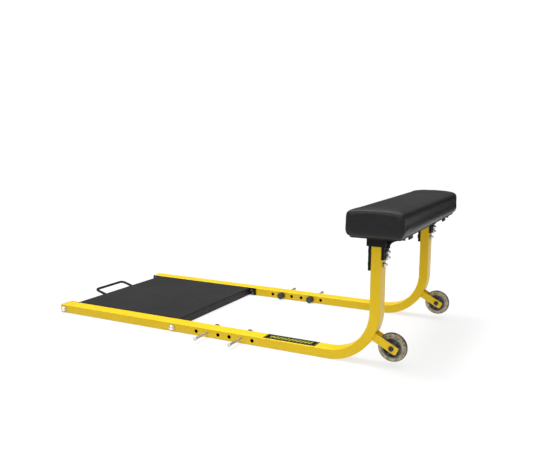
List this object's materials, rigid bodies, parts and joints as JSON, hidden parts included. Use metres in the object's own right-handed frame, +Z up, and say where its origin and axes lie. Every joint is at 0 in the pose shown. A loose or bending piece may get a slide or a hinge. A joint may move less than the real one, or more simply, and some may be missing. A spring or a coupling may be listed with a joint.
{
  "type": "hip thrust bench",
  "caption": "Low exercise bench: bent tube side frames on the floor, footplate with a lifting handle, sliding band pegs, raised cross pad and small wheels that clear the floor.",
  "frame": {"origin": "on the floor, at the centre of the bounding box", "axes": "+X from the foot end to the pad, +Y to the left seen from the foot end, +Z up"},
  "size_m": [1.392, 0.787, 0.482],
  "materials": {
    "yellow_paint": "gloss",
    "black_powder_coat": "textured satin",
    "black_oxide_steel": "satin",
    "zinc_steel": "satin",
    "chrome": "polished",
    "turned_steel": "turned",
    "black_plastic": "matte",
    "knob_plastic": "matte",
    "label_film": "gloss",
    "plywood": "raw",
    "pad_vinyl": "grained black vinyl over foam",
    "clear_urethane": "clear gloss",
    "hub_plastic": "satin",
    "bearing_steel": "ground",
    "bearing_shield": "satin"
  },
  "bodies": {
    "bench": {"axle_screw_left": "black_oxide_steel", "axle_screw_right": "black_oxide_steel", "axle_sleeve_left": "black_oxide_steel", "axle_sleeve_right": "black_oxide_steel", "axle_washers_left": "zinc_steel", "axle_washers_right": "zinc_steel", "bearing_inner_rings_left": "bearing_steel", "bearing_inner_rings_right": "bearing_steel", "bearing_spacer_left": "bearing_steel", "bearing_spacer_right": "bearing_steel", "footplate": "black_powder_coat", "footplate_bolts": "black_oxide_steel", "footplate_dome_nuts": "chrome", "footplate_side_bar_left": "black_powder_coat", "footplate_side_bar_right": "black_powder_coat", "footplate_washers": "zinc_steel", "handle": "black_powder_coat", "pad_board": "plywood", "pad_cushion": "pad_vinyl", "pad_plate_left": "black_powder_coat", "pad_plate_right": "black_powder_coat", "pad_screws": "black_oxide_steel", "pad_tee_nuts": "zinc_steel", "post_socket_left": "black_powder_coat", "post_socket_right": "black_powder_coat", "rail_label": "label_film", "rail_plug_left": "black_plastic", "rail_plug_right": "black_plastic", "rivet_nuts": "zinc_steel", "side_frame_left": "yellow_paint", "side_frame_right": "yellow_paint", "socket_bolts": "black_oxide_steel", "socket_dome_nuts": "chrome", "socket_screws": "chrome", "socket_washers": "black_oxide_steel", "wheel_fork_inner_left": "yellow_paint", "wheel_fork_inner_right": "yellow_paint", "wheel_fork_outer_left": "yellow_paint", "wheel_fork_outer_right": "yellow_paint"},
    "wheel_right": {"wheel_tyre_right": "clear_urethane", "wheel_hub_right": "hub_plastic", "bearing_outer_rings_right": "bearing_steel", "bearing_shields_right": "bearing_shield", "bearing_balls_right": "bearing_steel"},
    "wheel_left": {"wheel_tyre_left": "clear_urethane", "wheel_hub_left": "hub_plastic", "bearing_outer_rings_left": "bearing_steel", "bearing_shields_left": "bearing_shield", "bearing_balls_left": "bearing_steel"},
    "peg_right_foot": {"peg_pin_right_foot": "turned_steel", "peg_knob_right_foot": "knob_plastic"},
    "peg_right_head": {"peg_pin_right_head": "turned_steel", "peg_knob_right_head": "knob_plastic"},
    "peg_left_foot": {"peg_pin_left_foot": "turned_steel", "peg_knob_left_foot": "knob_plastic"},
    "peg_left_head": {"peg_pin_left_head": "turned_steel", "peg_knob_left_head": "knob_plastic"}
  },
  "joints": [
    {"name": "wheel_right_spin", "type": "hinge", "parent": "bench", "child": "wheel_right", "pos_m": [0.651, -0.2921, 0.0618], "axis": [0, 1, 0], "continuous": true},
    {"name": "wheel_left_spin", "type": "hinge", "parent": "bench", "child": "wheel_left", "pos_m": [0.651, 0.2921, 0.0618], "axis": [0, 1, 0], "continuous": true},
    {"name": "peg_right_foot_pull", "type": "slide", "parent": "bench", "child": "peg_right_foot", "axis": [0, 1, 0], "range_m": [0, 0.12]},
    {"name": "peg_right_head_pull", "type": "slide", "parent": "bench", "child": "peg_right_head", "axis": [0, 1, 0], "range_m": [0, 0.12]},
    {"name": "peg_left_foot_pull", "type": "slide", "parent": "bench", "child": "peg_left_foot", "axis": [0, -1, 0], "range_m": [0, 0.12]},
    {"name": "peg_left_head_pull", "type": "slide", "parent": "bench", "child": "peg_left_head", "axis": [0, -1, 0], "range_m": [0, 0.12]}
  ]
}
